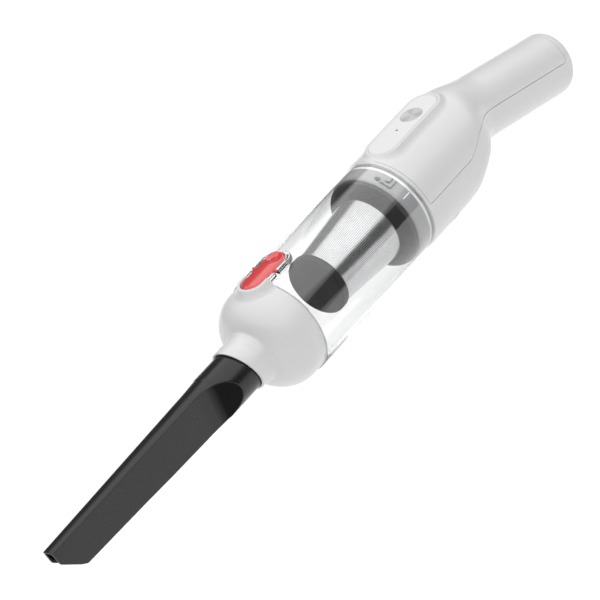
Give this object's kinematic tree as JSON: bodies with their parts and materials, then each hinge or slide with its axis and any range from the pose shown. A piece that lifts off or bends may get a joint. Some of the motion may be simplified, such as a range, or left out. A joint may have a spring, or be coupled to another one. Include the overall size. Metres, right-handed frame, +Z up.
{
  "type": "handheld vacuum cleaner",
  "caption": "Slim cordless handheld vacuum: crevice tool, domed nose, clear twist-off dust cup with mesh filter, red latch, motor body with top button and a round drooping grip.",
  "frame": {"origin": "on the axis of the inlet collar, at the middle of its straight round wall", "axes": "+X along the body from nozzle to handle, +Z up through the power button, +Y to the far side when the nozzle points left"},
  "size_m": [0.5391, 0.0724, 0.0796],
  "materials": {
    "shell_white": "smooth satin gloss",
    "pad_white": "high gloss",
    "tool_black": "fine satin texture",
    "latch_red": "satin gloss",
    "clear_cup": "clear polished polycarbonate",
    "button_metal": "spun",
    "steel": "bright",
    "mesh_steel": "etched dot mesh",
    "filter_dark": "satin",
    "seal_rubber": "matt",
    "seal_pale": "pale silicone",
    "sleeve_grey": "silver paint",
    "filter_paper": "pleated paper",
    "foam_dark": "open foam",
    "light_pipe": "tinted",
    "board_green": "solder mask",
    "inner_black": "plain moulding",
    "fan_alloy": "pressed",
    "copper_wound": "enamelled",
    "magnet_grey": "ground",
    "cell_blue": "shrink sleeve",
    "nickel": "bright",
    "wire_red": "insulation",
    "wire_black": "insulation",
    "plunger_red": "plain"
  },
  "bodies": {
    "tool": {"crevice_tool": "tool_black"},
    "nose": {"nose_cap": "shell_white", "nose_seal": "seal_pale", "flap_pin": "steel"},
    "flap": {"inlet_flap": "seal_rubber"},
    "latch": {"latch_lever": "latch_red"},
    "cup": {"dust_cup": "clear_cup", "latch_pin": "latch_red", "latch_spring": "steel", "nose_hinge_pin": "steel"},
    "rotor": {"impeller": "inner_black", "motor_shaft": "steel", "motor_rotor": "magnet_grey"},
    "button": {"power_button": "button_metal", "switch_plunger": "plunger_red"},
    "body": {"cup_seal": "seal_pale", "filter_end_cap": "filter_dark", "filter_mesh": "mesh_steel", "pleated_filter": "filter_paper", "filter_core": "filter_dark", "filter_flange": "filter_dark", "filter_seal": "seal_rubber", "bayonet_sleeve": "sleeve_grey", "collar_ring": "shell_white", "intake_grid": "sleeve_grey", "top_cover": "shell_white", "lower_housing": "shell_white", "control_panel": "pad_white", "status_light": "light_pipe", "main_board": "board_green", "push_switch": "inner_black", "fan_shroud": "fan_alloy", "front_bearing": "steel", "rear_bearing": "steel", "motor_stator": "copper_wound", "motor_can": "steel", "motor_front_plate": "fan_alloy", "motor_mount": "seal_rubber", "motor_bracket": "inner_black", "exhaust_foam": "foam_dark", "battery_cell_left": "cell_blue", "battery_cell_right": "cell_blue", "battery_cradle": "inner_black", "battery_tabs": "nickel", "charge_board": "board_green", "charge_port": "steel", "housing_screws": "steel", "motor_leads": "wire_red", "battery_leads": "wire_black"}
  },
  "joints": [
    {"name": "cup_twist", "type": "hinge", "parent": "body", "child": "cup", "pos_m": [0.095, 0, 0], "axis": [1, 0, 0], "range_deg": [-8, 0]},
    {"name": "nose_open", "type": "hinge", "parent": "cup", "child": "nose", "pos_m": [0.0365, 0, -0.03825], "axis": [0, -1, 0], "range_deg": [0, 90]},
    {"name": "tool_pull", "type": "slide", "parent": "nose", "child": "tool", "axis": [-1, 0, 0], "range_m": [0, 0.045]},
    {"name": "latch_press", "type": "hinge", "parent": "cup", "child": "latch", "pos_m": [0.0429, 0, 0.0375], "axis": [0, 1, 0], "range_deg": [0, 3], "stiffness_Nm_per_rad": 0.8, "deforming": ["latch_spring"]},
    {"name": "flap_swing", "type": "hinge", "parent": "nose", "child": "flap", "pos_m": [0.045, 0, 0.0172], "axis": [0, -1, 0], "range_deg": [0, 60]},
    {"name": "button_press", "type": "slide", "parent": "body", "child": "button", "axis": [0, 0, -1], "range_m": [0, 0.0008], "stiffness_N_per_m": 1500},
    {"name": "rotor_spin", "type": "hinge", "parent": "body", "child": "rotor", "pos_m": [0.185, 0, 0], "axis": [1, 0, 0], "continuous": true}
  ]
}
